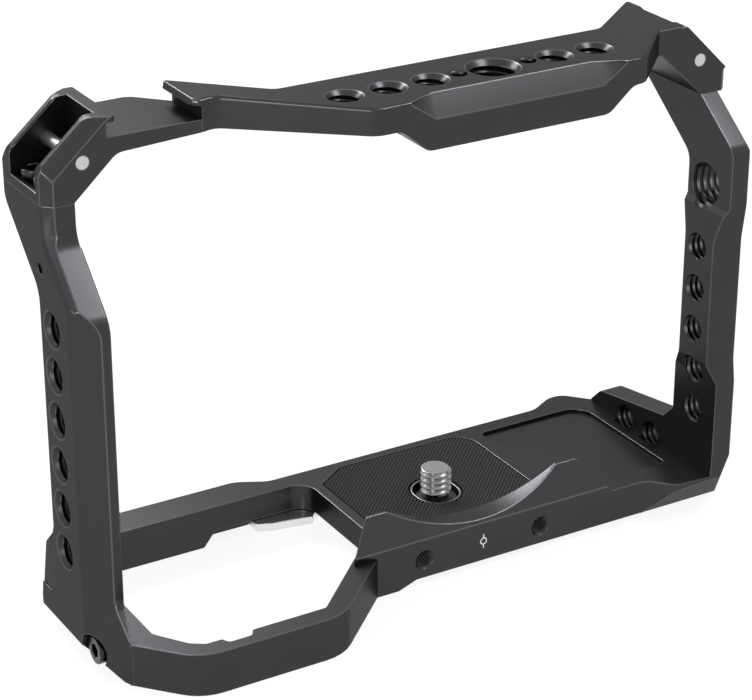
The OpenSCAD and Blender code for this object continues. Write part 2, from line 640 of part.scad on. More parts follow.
// ---------- top bar ----------
bar_knee = 28.5;      // where the bar's front straightens, left of the lens axis
bar_knee_right = 29.5;
bar_tail = 38.8;      // where its rear straightens
bar_tail_right = 32.1;
corner_w = 16.55;     // width of the right corner block
corner_left = right_reach - corner_w;
corner_front = 13.8;
corner_rear = 5.2;
keel_left = 17.95;
keel_right = 21.5;
keel_ramp = 5.5;
face_drop = 4;        // big front chamfer: height on the front face
face_run = 3.1;       // and run back along the top
face_left = 16.3;     // its ends, at the lower edge
face_right = 20;
face_end = 6;         // how far the end facets run out along the top
face_turn = 0.9;
bar_edge = 1.2;
wing_back = 8.15;     // tip of the shoe's right lip
wing_tip = 53.6;
wing_cut = 0.9;       // its cut rear corner
wing_edge = 0.5;      // chamfer along its left edge, along X
wing_nose = 1.2;      // its cut front corner
wing_slope = 0.95;    // rise of its rear edge
module bar_plan() outline([
    [shoe_r_wall, -block_front, 0], [shoe_r_wall + notch_run, -block_front + tiny_r, wide_r],
    [-bar_knee, -bar_front, wide_r], [bar_knee_right, -bar_front, wide_r],
    [corner_left - face_turn, -corner_front, soft_r], [corner_left, -corner_front, 0],
    [corner_left, -bar_front + bar_w + (corner_left - bar_tail_right) * bar_rise, 0],
    [bar_tail_right, -bar_front + bar_w, soft_r],
    [-bar_tail, -bar_front + bar_w, soft_r],
    [shoe_r_wall, wing_back - (shoe_r_wall + wing_tip) * wing_slope, 0]]);
bar_rise = 0.8;
module wing_plan() outline([
    [shoe_r_wall, -block_front, 0], [shoe_r_wall, wing_back - (shoe_r_wall + wing_tip) * wing_slope, 0],
    [-wing_tip, wing_back, tiny_r], [shoe_r_wall - lip_overhang, wing_back - wing_cut, tiny_r],
    [shoe_r_wall - lip_overhang, -block_front + wing_nose, small_r],
    [shoe_r_wall - lip_overhang + wing_nose, -block_front, small_r]]);
hole_x = [for (k = [-3.5, -2.5, -1.5, 1.5, 2.5]) top_mid + k * pitch];
module top_bar() color(metal) placed() difference() {
    union() {
        intersection() {
            plan(0, cage_h) bar_plan();
            front(-bar_front, rear_reach) outline([
                [shoe_r_wall, cage_h, 0], [shoe_r_wall, under_z(shoe_r_wall), 0], [-bar_knee, cage_h - bar_t, 0],
                [-keel_left - keel_ramp, cage_h - bar_t, soft_r], [-keel_left, cage_h - bar_t - keel_h, soft_r],
                [keel_right, cage_h - bar_t - keel_h, soft_r], [keel_right + keel_ramp, cage_h - bar_t, soft_r],
                [corner_left, cage_h - bar_t, 0], [corner_left, cage_h, 0]]);
        }
        plan(cage_h - shoe_lip, cage_h) wing_plan();
    }
    // big chamfer with its end facets
    intersection() {
        beyond([0, -bar_front, cage_h - face_drop], [0, -face_drop, face_run]);
        beyond3([-face_left, -bar_front, cage_h - face_drop], [-face_left + face_turn, -bar_front + face_run, cage_h],
            [-face_left - face_end, -bar_front, cage_h]);
        beyond3([face_right, -bar_front, cage_h - face_drop], [face_right + face_end, -bar_front, cage_h],
            [face_right - face_turn, -bar_front + face_run, cage_h]);
    }
    // threaded row
    for (x = hole_x) bore_from([x, -top_row, cage_h], [0, 0, -1], quarter_d, quarter_sink, bar_t + keel_h);
    bore_from([top_mid, -top_row, cage_h], [0, 0, -1], eighths_d, eighths_sink, bar_t + keel_h);
    for (s = [-1, 1]) translate([top_mid + s * (pitch - (eighths_d - quarter_d) / 2), -top_row, cage_h - locate_depth])
        cylinder(d = locate_d, h = locate_depth + over);
    // chamfer along the wing's left edge
    beyond([shoe_r_wall - lip_overhang, 0, cage_h - bar_edge], [-bar_edge, 0, wing_edge]);
}

// ---------- right corner, upright and wall ----------
r_slope_low = 10.7;   // outer slant, below the top
r_slope_run = 10.7;   // and its run along X
r_slant_x = 8.2;      // inner slant, along X
r_slant_z = 7.7;
r_pin_in = 7.2;
r_pocket_rim = 2.7;
r_cheek = 3.5;
corner_edge = 1.5;
module right_corner() color(metal) placed() difference() {
    intersection() {
        front(-corner_front, corner_rear) outline([
            [inner_right, seam_z, small_r], [right_reach, seam_z, 0], [right_reach, cage_h - r_slope_low, soft_r],
            [right_reach - r_slope_run, cage_h, soft_r], [corner_left, cage_h, 0],
            [corner_left, cage_h - bar_t, 0],
            [inner_right - r_slant_x, seam_z + r_slant_z, blend_r]]);
        plan(0, cage_h + over) outline([
            [corner_left, -corner_front, 0], [right_reach, -corner_front, 0], [right_reach, corner_rear, blend_r],
            [corner_left + (corner_rear + bar_front - bar_w) / bar_rise - (corner_left - bar_tail_right), corner_rear, blend_r],
            [corner_left, -bar_front + bar_w + (corner_left - bar_tail_right) * bar_rise, 0]]);
    }
    // strap pocket, open on the slant
    front(-corner_front + r_cheek, corner_rear - r_cheek) polygon([
        [right_reach + over, seam_z + r_pocket_rim], [right_reach + over, cage_h + over],
        [right_reach - r_slope_run - block_wall, cage_h + over],
        [right_reach - r_slope_run - block_wall, seam_z + r_slant_z + slant_wall],
        [inner_right + slant_wall_z, seam_z + r_pocket_rim]]);
    intersection() {
        beyond([right_reach, -corner_front + corner_edge, 0], [1, -1, 0]);
        beyond([right_reach, -corner_front + corner_edge, cage_h - r_slope_low], [1, -1, -1]);
    }
    strap_pin(1, right_reach - r_pin_in, -corner_front - over, corner_rear - slide_gap);
}

// Heights of the right upright's sections, low ones from the base, high ones from the seam
foot_top = 29.8;
waist_low = 33.3;
waist_drop = 28.8;
head_drop = 20.3;
waist_high = seam_z - waist_drop;
head_low = seam_z - head_drop;
shoulder_in = 0.7;    // the inner face steps in this far below the head
head_front = 25;      // camera screw forward to the front of each section
foot_front = 24.1;
waist_front = 21.6;
foot_back = 10.3;
waist_back = 12.4;
head_back = 11.2;
lean_drop = 8.7;      // bends of the upper section below the seam, front and rear
lean_drop_back = 13;
lean_front = seam_z - lean_drop;
lean_back = seam_z - lean_drop_back;
right_row = 16.8;
right_count = floor((waist_high - right_hole_z) / pitch) + 1;
big_hole_drop = 18;
heel_chamfer = 1.9;
heel_chamfer_run = 3.2;
heel_round = 4;
lean_chamfer = 2.5;   // front outer edge of the lean, along X
lean_chamfer_run = 3.7;
lean_dir = unit([head_front - corner_front, seam_z - lean_front]);
facet_in = 4.9;
facet_low = 5.6;
facet_high = 12;
facet_foot = 3;
wall_edge = 1.3;      // chamfer along the outer top edge of the low wall
wall_peak = 7.2;      // where the low wall's top starts to slope
wall_end = 3.7;       // its rounded rear end
wall_fillet = 3;

module right_upright() color(metal) placed() difference() {
    intersection() {
        side(inner_right - waist_extra, right_reach) outline([
            [-heel_front, 0, 0], [-foot_back, 0, 0], [-foot_back, foot_top, small_r], [-waist_back, waist_low, small_r],
            [-waist_back, waist_high, blend_r], [-head_back, head_low, blend_r], [-head_back, lean_back, wide_r],
            [corner_rear, seam_z, 0], [-corner_front, seam_z, 0], [-head_front, lean_front, wide_r],
            [-head_front, head_low, soft_r], [-waist_front, waist_high, soft_r], [-waist_front, waist_low, small_r],
            [-foot_front, foot_top, small_r], [-foot_front, facet_high, small_r], [-heel_front, base_t, small_r]]);
        front(-grip_reach, rear_reach) outline([
            [inner_right, 0, 0], [right_reach, 0, heel_round], [right_reach, seam_z, 0], [inner_right, seam_z, 0],
            [inner_right, head_low - shoulder_in, small_r],
            [inner_right - waist_extra, head_low - shoulder_in - waist_extra * 1.6, small_r],
            [inner_right - waist_extra, waist_low, small_r], [inner_right, foot_top, small_r]]);
    }
    beyond([right_reach, -foot_front + heel_chamfer_run, 0], [heel_chamfer_run, -heel_chamfer, 0]);
    // the same edge where the upright leans back
    beyond([right_reach, -corner_front + lean_chamfer_run * lean_dir[1], seam_z - lean_chamfer_run * lean_dir[0]],
        [lean_chamfer_run, -lean_chamfer * lean_dir[1], lean_chamfer * lean_dir[0]]);
    // lower front corner of the heel
    beyond3([right_reach, -heel_front + heel_chamfer, facet_high], [right_reach - facet_in, -heel_front, facet_low],
        [right_reach, -base_front, facet_foot]);
    belly();
    for (k = [0:right_count - 1])
        translate([inner_right - waist_extra - over, -right_row, right_hole_z + k * pitch]) rotate([0, 90, 0])
            cylinder(d = quarter_d, h = right_t + waist_extra + 2 * over);
    translate([inner_right - over, -right_row, seam_z - big_hole_drop]) rotate([0, 90, 0])
        cylinder(d = eighths_d, h = right_t + 2 * over);
}
module right_wall() color(metal) placed() difference() {
    intersection() {
        side(inner_right, right_reach) outline([
            [-foot_back, 0, 0], [wall_back, 0, 0], [wall_back, base_t, blend_r], [wall_back - wall_end, wall_low, soft_r],
            [-wall_peak, wall_h, 0], [-foot_back, wall_h + wall_fillet, 0]]);
        front(-grip_reach, rear_reach) outline([
            [inner_right, 0, 0], [right_reach, 0, heel_round], [right_reach, wall_h + 2 * wall_fillet, 0],
            [inner_right, wall_h + 2 * wall_fillet, 0]]);
    }
    beyond([right_reach - wall_edge, -wall_peak, wall_h],
        [1, (wall_h - wall_low) / (wall_peak + wall_back - wall_end), 1]);
    for (y = wall_hole_y) bore_from([inner_right, y, wall_hole_z], [1, 0, 0], quarter_d, 0, right_t);
}

// ---------- pads, screws, pins and tool ----------
module base_pad() color(rubber) placed() difference() {
    translate([0, 0, base_t - pad_t]) linear_extrude(pad_t + pad_proud) intersection() {
        pad_shape(0);
        translate([-pad_w, -lip_back + pad_gap]) square([2 * pad_w, 2 * pad_back]);
    }
    at_screw() translate([0, 0, base_t - pad_t - over])
        oblong(slot_w + 2 * rim_t + 2 * rim_gap, slot_l + 2 * rim_t + 2 * rim_gap, pad_t + pad_proud + 2 * over);
}
ring_z = web_z + web_t + slide_gap;
module screw_ring() color(rubber) placed() at_screw() difference() {
    translate([0, 0, ring_z]) cylinder(d = slot_w - 2 * slide_gap, h = ring_t);
    translate([0, 0, ring_z - over]) cylinder(d = screw_neck_d + 2 * run_gap, h = ring_t + 2 * over);
}
head_z = web_z - 3 * slide_gap - screw_head_t;
screw_top = base_t + pad_proud + screw_reach;
thread_z = ring_z + ring_t + slide_gap * 4;
tip = 0.5;
module camera_screw() color(steel) placed() at_screw() difference() {
    union() {
        translate([0, 0, head_z]) cylinder(d = screw_head_d, h = screw_head_t);
        translate([0, 0, head_z]) cylinder(d = screw_neck_d, h = screw_top - head_z - tip);
        translate([0, 0, thread_z]) cylinder(d = screw_d, h = screw_top - tip - thread_z);
        translate([0, 0, screw_top - tip]) cylinder(d1 = screw_d, d2 = screw_d - 2 * tip, h = tip);
    }
    // driver slot across the head
    block([-screw_head_d, -(tool_t / 2 + slide_gap), -over], [screw_head_d, tool_t / 2 + slide_gap, head_z + screw_head_t / 2]);
}
module strap_pin_left() color(steel) placed()
    strap_pin(0, outer_left + pin_in, -block_front, block_rear - slide_gap);
module strap_pin_right() color(steel) placed()
    strap_pin(0, right_reach - r_pin_in, -corner_front, corner_rear - slide_gap);
hex_w = 2.5;
module bolt(l, head_h) difference() {
    union() {
        cylinder(d = bolt_head_d, h = head_h);
        translate([0, 0, -l]) cylinder(d = bolt_d, h = l + head_h / 2);
    }
    translate([0, 0, head_h / 2]) cylinder(d = hex_w / cos(30), h = head_h, $fn = 6);
}
module corner_bolts() color(steel) placed() for (y = bolt_y)
    translate([bolt_x, y, seam_z + pocket_floor]) bolt(bolt_l, bolt_head_h);
module foot_bolt() color(metal) placed()
    translate([outer_left + foot_bolt_face + foot_head_h, foot_bolt_y, foot_bolt_z]) rotate([0, -90, 0])
        bolt(foot_bolt_l - slide_gap, foot_head_h);
tool_l_grip = 13.6;   // length of the tool's wide grip
tool_corner = 0.8;    // its rounded corners
// [share of the grip's length or width along X, share of the width along Y, corner share]
tool_shares = [[0, 1, 0.11], [0, 0.45, 0.04], [0.036, 0.36, 0.04], [0.21, 0.22, 0.07], [0.85, 0, 0.07], [1, 0.3, 0.07]];
blade_shares = [[0, 0.3, 0.06], [0, 0.94, 0.06]];
module flat_tool() color(steel) placed() translate([-tool_end, tool_y - tool_w / 2, recess_roof - tool_gap - tool_t])
    linear_extrude(tool_t) outline(concat(
        [for (q = tool_shares) [q[0] * tool_l_grip, q[1] * tool_w, q[2] * tool_w]],
        [for (q = blade_shares) [tool_l, q[1] * tool_w, q[2] * tool_w]],
        [[tool_l_grip, blade_shares[1][1] * tool_w, blade_shares[1][2] * tool_w], [tool_l_grip, tool_w, tool_corner]]));
module tool_magnets() color(steel) placed() magnets(0);

base_plate();
front_lip();
grip_arm();
grip_front();
side_rail();
rear_rail();
right_wall();
right_upright();
right_corner();
top_bar();
shoe_floor();
strap_block();
left_upright();
upright_liner();
base_pad();
screw_ring();
camera_screw();
strap_pin_left();
strap_pin_right();
corner_bolts();
foot_bolt();
flat_tool();
tool_magnets();
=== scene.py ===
# Camera cage: the machined frame, its seat, screw, pins, bolts and flat tool, under a
# soft studio light. Lengths are millimetres of the cage drawing, whose X starts at the
# lens axis and Y at the camera screw. A name that ends in X, Y or Z is a place.
import bpy
import bmesh
from math import cos, degrees, hypot, pi, radians
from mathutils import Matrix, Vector


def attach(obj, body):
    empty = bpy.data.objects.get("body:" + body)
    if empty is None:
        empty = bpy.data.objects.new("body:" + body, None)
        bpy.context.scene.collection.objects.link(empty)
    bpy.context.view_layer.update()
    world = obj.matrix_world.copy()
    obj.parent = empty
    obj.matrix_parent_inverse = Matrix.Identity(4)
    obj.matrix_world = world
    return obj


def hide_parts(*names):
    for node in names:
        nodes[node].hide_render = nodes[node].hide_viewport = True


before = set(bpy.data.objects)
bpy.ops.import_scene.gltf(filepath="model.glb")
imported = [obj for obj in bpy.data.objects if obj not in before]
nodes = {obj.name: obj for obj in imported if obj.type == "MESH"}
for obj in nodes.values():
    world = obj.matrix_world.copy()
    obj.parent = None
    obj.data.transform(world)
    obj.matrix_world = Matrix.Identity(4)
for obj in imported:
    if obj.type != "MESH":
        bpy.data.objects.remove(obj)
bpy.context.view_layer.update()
MM = 0.001
LENS_AXIS = Vector((12.7, 4.75, 0)) * MM     # drawing zero in the cage's own frame
PLUS_X, PLUS_Y, DOWN = (1, 0, 0), (0, 1, 0), (0, 0, -1)
mesh_op, object_op = bpy.ops.mesh, bpy.ops.object


def at(x, y, z):
    """A place of the drawing, in metres of the frame."""
    return Vector((x, y, z)) * MM + LENS_AXIS


def drawn(point):
    """The drawing's millimetres of a place in the frame."""
    return (point - LENS_AXIS) / MM


# Camera
CAMERA_PLACE = (-239.55, -383.07, 248.99)
CAMERA_DIP, CAMERA_TURN = 24.8, -30.5        # degrees below level, and about Z
FOCAL_LENGTH, SENSOR_WIDTH = 119.8, 36
object_op.select_all(action="DESELECT")
object_op.camera_add(location=at(*CAMERA_PLACE),
                     rotation=(radians(90 - CAMERA_DIP), 0, radians(CAMERA_TURN)))
camera = bpy.context.object
camera.name = "camera"
camera.data.lens = FOCAL_LENGTH
camera.data.sensor_width = SENSOR_WIDTH
bpy.context.scene.camera = camera
bpy.context.scene.view_settings.view_transform = "Standard"


# Selecting and shaping
def only(piece):
    """Selects this object and nothing else, and makes it the active one."""
    object_op.select_all(action="DESELECT")
    piece.select_set(True)
    bpy.context.view_layer.objects.active = piece


def edit(piece, mode="EDGE"):
    """Starts edit mode on one object, with nothing selected."""
    only(piece)
    object_op.mode_set(mode="EDIT")
    mesh_op.select_mode(type=mode)
    mesh_op.select_all(action="DESELECT")


def done():
    object_op.mode_set(mode="OBJECT")


def pick(piece, kind, test):
    """Selects the edges or faces of the piece in edit mode that pass a test, and counts them."""
    mesh = bmesh.from_edit_mesh(piece.data)
    mesh.normal_update()
    found = [x for x in getattr(mesh, kind) if test(x)]
    for x in found:
        x.select_set(True)
    bmesh.update_edit_mesh(piece.data)
    return len(found)


def middle(edge):
    return drawn((edge.verts[0].co + edge.verts[1].co) / 2)


def turn(edge):
    """Degrees by which the surface turns over an outer edge; below zero in a corner."""
    return degrees(edge.calc_face_angle_signed(0)) if edge.is_manifold else 0


def modify(piece, kind, **settings):
    """Adds a modifier and applies it at once."""
    only(piece)
    m = piece.modifiers.new(kind.lower(), kind)
    for key, value in settings.items():
        setattr(m, key, value)
    object_op.modifier_apply(modifier=m.name)


def combine(piece, other, how):
    """Joins the other object to the piece, or cuts the piece with it, and uses it up."""
    modify(piece, "BOOLEAN", operation=how, solver="MANIFOLD", object=other, material_mode="TRANSFER")
    bpy.data.objects.remove(other)


def settle(piece):
    """Puts the object's place into its mesh."""
    only(piece)
    object_op.transform_apply(location=True, rotation=True, scale=True)


MERGE = 0.002 * MM    # points this close are one point


def copy_of(name, source):
    """The merged copy of a mesh as a new object."""
    p = bpy.data.objects.new(name, source.data.copy())
    bpy.context.scene.collection.objects.link(p)
    p.data.name = name
    edit(p, "VERT")
    mesh_op.select_all(action="SELECT")
    mesh_op.remove_doubles(threshold=MERGE)
    mesh_op.customdata_custom_splitnormals_clear()
    done()
    return p


def tidy_flats(piece):
    """Turns the loose triangles of each flat into whole faces."""
    edit(piece, "VERT")
    mesh_op.select_all(action="SELECT")
    mesh_op.dissolve_limited(angle_limit=radians(0.4))
    done()


# places of the finishes in a dressed piece's list
# on the frame and the left upright, the rounded edges' place holds a lighter grey, a painted highlight
PLAIN, ROUNDED_EDGE, RIM, THREAD = range(4)


def round_edges(piece, width, steps, test, face_slot=ROUNDED_EDGE):
    """Rounds the edges that pass a test; the new faces take the finish in face_slot."""
    edit(piece, "EDGE")
    if pick(piece, "edges", test):
        mesh_op.bevel(offset=width * MM, segments=steps, affect="EDGES", clamp_overlap=False,
                      material=face_slot, profile=0.5)
    done()


def sharp(edge, least_turn=24, least_area=0.02):
    """True for an outer edge that no rounding has touched yet, between faces of some size."""
    faces = edge.link_faces
    return (turn(edge) > least_turn and not all(f.material_index == ROUNDED_EDGE for f in faces)
            and min(f.calc_area() for f in faces) > least_area * MM * MM)


def dress(piece, *finishes):
    """Gives the piece these finishes, in the order of the list's places."""
    piece.data.materials.clear()
    for f in finishes:
        piece.data.materials.append(f)


def shade(piece, angle=32):
    """Smooth shading that leaves the flats flat."""
    only(piece)
    object_op.shade_smooth_by_angle(angle=radians(angle))
    modify(piece, "WEIGHTED_NORMAL", keep_sharp=True, weight=80)


def finish(piece, body, slot, *replaced):
    """Says what the piece rides on and hides the nodes that it stands for; slot is not used."""
    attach(piece, body)
    if replaced:
        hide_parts(*replaced)


# Finishes
def linear(hex_value):
    """An sRGB hex colour as the linear colour that a shader takes."""
    out = []
    for i in (0, 2, 4):
        c = int(hex_value[i:i + 2], 16) / 255
        out.append(c / 12.92 if c <= 0.04045 else ((c + 0.055) / 1.055) ** 2.4)
    return (*out, 1)


def add(tree, kind, links=None, **settings):
    """One shader node with its settings; links maps its sockets to values or outputs."""
    n = tree.nodes.new(kind)
    for key, value in settings.items():
        setattr(n, key, value)
    for key, value in (links or {}).items():
        if isinstance(value, bpy.types.NodeSocket):
            tree.links.new(value, n.inputs[key])
        else:
            n.inputs[key].default_value = value
    return n


def blank_material(name):
    m = bpy.data.materials.new(name)
    m.use_nodes = True
    m.node_tree.nodes.clear()
    return m, m.node_tree


# blasting leaves pits of about 0.1 mm, drawn at 0.25 mm so that they show
PITS_PER_MM = 4
CLOUDS_PER_MM = 0.045     # patches of 22 mm where the dye took a little more or less
PIT_DEPTH = 0.02
GRAZING_TINT = (0.52, 0.52, 0.52, 1)
FINE_DEPTH = 0.03         # of tool marks and of the grain from a mould


def anodised(name, dark, light, roughness):
    """Blasted and dyed aluminium: an even dark grey with a soft sheen and a very fine grain."""
    m, t = blank_material(name)
    where = add(t, "ShaderNodeTexCoord").outputs["Object"]
    grain = add(t, "ShaderNodeTexNoise", {
        "Vector": where, "Scale": PITS_PER_MM / MM, "Detail": 3, "Roughness": 0.6})
    cloud = add(t, "ShaderNodeTexNoise", {"Vector": where, "Scale": CLOUDS_PER_MM / MM, "Detail": 2})
    tone = add(t, "ShaderNodeMix", {
        "Factor": cloud.outputs["Fac"], "A": linear(dark), "B": linear(light)}, data_type="RGBA")
    rough = add(t, "ShaderNodeMapRange", {
        "Value": grain.outputs["Fac"], "To Min": roughness - 0.05, "To Max": roughness + 0.06})
    bump = add(t, "ShaderNodeBump", {
        "Strength": 0.16, "Distance": PIT_DEPTH * MM, "Height": grain.outputs["Fac"]})
    # the dyed oxide drinks light that grazes it, so flats seen at a low angle stay dark
    skin = add(t, "ShaderNodeBsdfPrincipled", {
        "Base Color": tone.outputs["Result"], "Metallic": 0.95, "Roughness": rough.outputs["Result"],
        "Specular Tint": GRAZING_TINT, "Normal": bump.outputs["Normal"]})
    add(t, "ShaderNodeOutputMaterial", {"Surface": skin.outputs["BSDF"]})
    return m


def bright_metal(name, dark, light, roughness, marks_per_mm, squash=(1, 1, 1), strength=0.2):
    """Turned or ground steel: bright, with fine tool marks that stretch the highlights.

    The marks are drawn coarser than they are, so that they show. squash packs them closer
    along an axis where it is above 1, and draws them out along it where it is below 1.
    """
    m, t = blank_material(name)
    where = add(t, "ShaderNodeTexCoord").outputs["Object"]
    stretch = add(t, "ShaderNodeMapping", {"Vector": where, "Scale": squash})
    marks = add(t, "ShaderNodeTexNoise", {
        "Vector": stretch.outputs["Vector"], "Scale": marks_per_mm / MM, "Detail": 4, "Roughness": 0.65})
    tone = add(t, "ShaderNodeMix", {
        "Factor": marks.outputs["Fac"], "A": linear(dark), "B": linear(light)}, data_type="RGBA")
    rough = add(t, "ShaderNodeMapRange", {
        "Value": marks.outputs["Fac"], "To Min": roughness - 0.07, "To Max": roughness + 0.09})
    bump = add(t, "ShaderNodeBump", {
        "Strength": strength, "Distance": FINE_DEPTH * MM, "Height": marks.outputs["Fac"]})
    skin = add(t, "ShaderNodeBsdfPrincipled", {
        "Base Color": tone.outputs["Result"], "Metallic": 1.0, "Roughness": rough.outputs["Result"],
        "Normal": bump.outputs["Normal"]})
    add(t, "ShaderNodeOutputMaterial", {"Surface": skin.outputs["BSDF"]})
    return m


def soft_black(name, dark, light, roughness, grains_per_mm, strength):
    """Moulded rubber or nylon: dull and nearly black, with a slight grain from the mould.

    The grain is drawn at about half a millimetre, so that it shows.
    """
    m, t = blank_material(name)
    where = add(t, "ShaderNodeTexCoord").outputs["Object"]
    grain = add(t, "ShaderNodeTexNoise", {"Vector": where, "Scale": grains_per_mm / MM, "Detail": 3})
    tone = add(t, "ShaderNodeMix", {
        "Factor": grain.outputs["Fac"], "A": linear(dark), "B": linear(light)}, data_type="RGBA")
    bump = add(t, "ShaderNodeBump", {
        "Strength": strength, "Distance": FINE_DEPTH * MM, "Height": grain.outputs["Fac"]})
    skin = add(t, "ShaderNodeBsdfPrincipled", {
        "Base Color": tone.outputs["Result"], "Roughness": roughness, "Specular IOR Level": 0.3,
        "Normal": bump.outputs["Normal"]})
    add(t, "ShaderNodeOutputMaterial", {"Surface": skin.outputs["BSDF"]})
    return m


def pad_print(name, dark, light, roughness, grains_per_mm):
    """Printing ink: flat and pale, a little thinner in the pits of the metal under it."""
    m, t = blank_material(name)
    where = add(t, "ShaderNodeTexCoord").outputs["Object"]
    grain = add(t, "ShaderNodeTexNoise", {"Vector": where, "Scale": grains_per_mm / MM, "Detail": 2})
    tone = add(t, "ShaderNodeMix", {
        "Factor": grain.outputs["Fac"], "A": linear(dark), "B": linear(light)}, data_type="RGBA")
    skin = add(t, "ShaderNodeBsdfPrincipled", {
        "Base Color": tone.outputs["Result"], "Roughness": roughness})
    add(t, "ShaderNodeOutputMaterial", {"Surface": skin.outputs["BSDF"]})
    return m


frame_grey = anodised("anodised_aluminium_dark_grey", "3a3a3c", "414143", 0.30)
# a lighter grey for the narrow rounded edges: a painted highlight where the edges catch light
painted_edge_highlight = anodised("anodised_aluminium_burnished_edge", "545456", "5e5e60", 0.30)
thread_grey = anodised("anodised_aluminium_thread", "343436", "3d3d3f", 0.26)
# a lighter grey round the screw's slot: a painted highlight of the slot's rim
slot_rim_painted_highlight = anodised("machined_aluminium_rim", "6c6c6f", "78787b", 0.30)
screw_steel = bright_metal("turned_stainless_steel", "7c7c7e", "929294", 0.24, 0.9, squash=(1, 1, 6))
pin_steel = bright_metal("drawn_steel_rod", "b4b4b5", "d0d0d1", 0.33, 2.6, strength=0.5)
tool_steel = bright_metal("ground_spring_steel", "dcddde", "efefef", 0.24, 1.4, squash=(0.12, 1, 1))
bolt_steel = bright_metal("black_oxide_steel", "333335", "434345", 0.22, 1.8, strength=0.15)
nickel = bright_metal("nickel_plate", "aaa9a4", "bbbab5", 0.2, 0.7, strength=0.1)
pad_rubber = soft_black("moulded_silicone_rubber", "171718", "202021", 0.62, 2.5, 0.25)
liner_rubber = soft_black("die_cut_rubber_sheet", "1b1b1c", "242424", 0.7, 2.2, 0.3)
# near black: partly the nylon's own colour, partly painted shade for the deep shadow round the screw in its
# slot
nylon_ring_and_slot_shade = soft_black("moulded_black_nylon", "0d0d0e", "151516", 0.5, 1.5, 0.2)
paint = pad_print("white_pad_print", "d6d6d6", "f2f2f2", 0.55, 3)


# Screw threads
def thread_profile(crest, root, pitch, crest_share, rounded):
    """One turn of a thread's outline as (radius, height), in a wave or with flat crests."""
    if rounded:
        points = 6
        centre, swing = (crest + root) / 2, (crest - root) / 2
        return [(centre - swing * cos(2 * pi * i / points), pitch * i / points)
                for i in range(points + 1)]
    half = pitch / 2
    flat = half * crest_share
    return [(root, 0), (root, flat / 2), (crest, half - flat / 2), (crest, half + flat / 2),
            (root, pitch - flat / 2), (root, pitch)]


def threaded_rod(name, crest, root, pitch, turns, crest_share=0.3, steps=32, rounded=False):
    """A closed screw thread along +Z from the origin, for the camera screw and the taps.

    crest and root are radii, crest_share is the flat part of half a pitch, and steps are
    the corners of one turn.
    """
    shape = thread_profile(crest, root, pitch, crest_share, rounded)
    line = bpy.data.meshes.new(name)
    line.from_pydata([(r * MM, 0, z * MM) for r, z in shape],
                     [(i, i + 1) for i in range(len(shape) - 1)], [])
    rod = bpy.data.objects.new(name, line)
    bpy.context.scene.collection.objects.link(rod)
    modify(rod, "SCREW", axis="Z", screw_offset=pitch * MM, iterations=turns, steps=steps,
           render_steps=steps, use_merge_vertices=True, merge_threshold=MERGE / 2,
           use_smooth_shade=True)
    edit(rod, "VERT")
    mesh_op.select_all(action="SELECT")
    mesh_op.remove_doubles(threshold=MERGE)
    # close both ends over a point on the axis, the lower end first
    for lower in (True, False):
        mesh = bmesh.from_edit_mesh(rod.data)
        rim = [e for e in mesh.edges if e.is_boundary]
        if not rim:
            break
        mean = sum(e.verts[0].co.z for e in rim) / len(rim)
        one_end_left = len(rim) < 2 * steps
        mesh_op.select_all(action="DESELECT")
        for e in rim:
            if one_end_left or (e.verts[0].co.z < mean) == lower:
                e.select_set(True)
        bmesh.update_edit_mesh(rod.data)
        mesh_op.extrude_edges_move()
        mesh_op.merge(type="CENTER")
    mesh_op.select_all(action="SELECT")
    mesh_op.normals_make_consistent(inside=False)
    done()
    return rod


def thread_hole(piece, tap, place, into, past):
    """Cuts a thread in a hole with a copy of the tap that starts `past` before the place.

    The place is on the hole's axis, at its mouth or just outside it, and past sets where
    the turns of the thread lie in the hole.
    """
    t = copy_of("tap", tap)
    t.rotation_mode = "QUATERNION"
    t.rotation_quaternion = Vector(into).to_track_quat("Z", "Y")
    t.location = at(*place) - Vector(into) * past * MM
    settle(t)
    combine(piece, t, "DIFFERENCE")


def thread_row(piece, tap, start, step, steps, into, past):
    """Cuts the threads of a row, which stand so many steps from its start."""
    for k in steps:
        place = [a + b * k for a, b in zip(start, step)]
        thread_hole(piece, tap, place, into, past)


quarter_tap = threaded_rod("quarter_tap", crest=3.13, root=2.56, pitch=1.27, turns=12)
eighths_tap = threaded_rod("eighths_tap", crest=4.7, root=4.0, pitch=1.5875, turns=10, steps=40)
front_tap = threaded_rod("front_tap", crest=2.08, root=1.62, pitch=0.7, turns=14, crest_share=0.2, steps=28)
small_tap = threaded_rod("small_tap", crest=1.24, root=1.02, pitch=0.45, turns=18, steps=20)
taps = (quarter_tap, eighths_tap, front_tap, small_tap)
for tap in taps:
    dress(tap, thread_grey)

# Machined frame
FRAME_NODES = ["base_plate", "front_lip", "grip_arm", "grip_front", "side_rail", "rear_rail",
               "right_wall", "right_upright", "right_corner", "top_bar", "shoe_floor", "strap_block"]
body = copy_of("machined_frame", nodes["base_plate"])
for n in FRAME_NODES[1:]:
    combine(body, copy_of(n + "_copy", nodes[n]), "UNION")
dress(body, frame_grey, painted_edge_highlight, slot_rim_painted_highlight, thread_grey)

# Threads of the frame
PITCH = 9                                 # from hole to hole in each row
RIGHT_TAP_X, LARGE_TAP_X, WALL_TAP_X = 50.5, 51, 50.2     # just outside the inner faces
RIGHT_ROW_Y = -16.8
RIGHT_LOWEST_Z, RIGHT_LARGE_Z = 21.8, 70.8
WALL_FIRST_Y, WALL_HOLE_Z = -3.3, 9.9
WALL_PITCH = 9.1
BAR_LARGE_X, BAR_ROW_Y, BAR_TOP_Z = 1.65, -16, 103.5
FRONT_FACE_Y, FRONT_HOLE_X, FRONT_HOLE_Z = -18.5, 13.65, 5.4

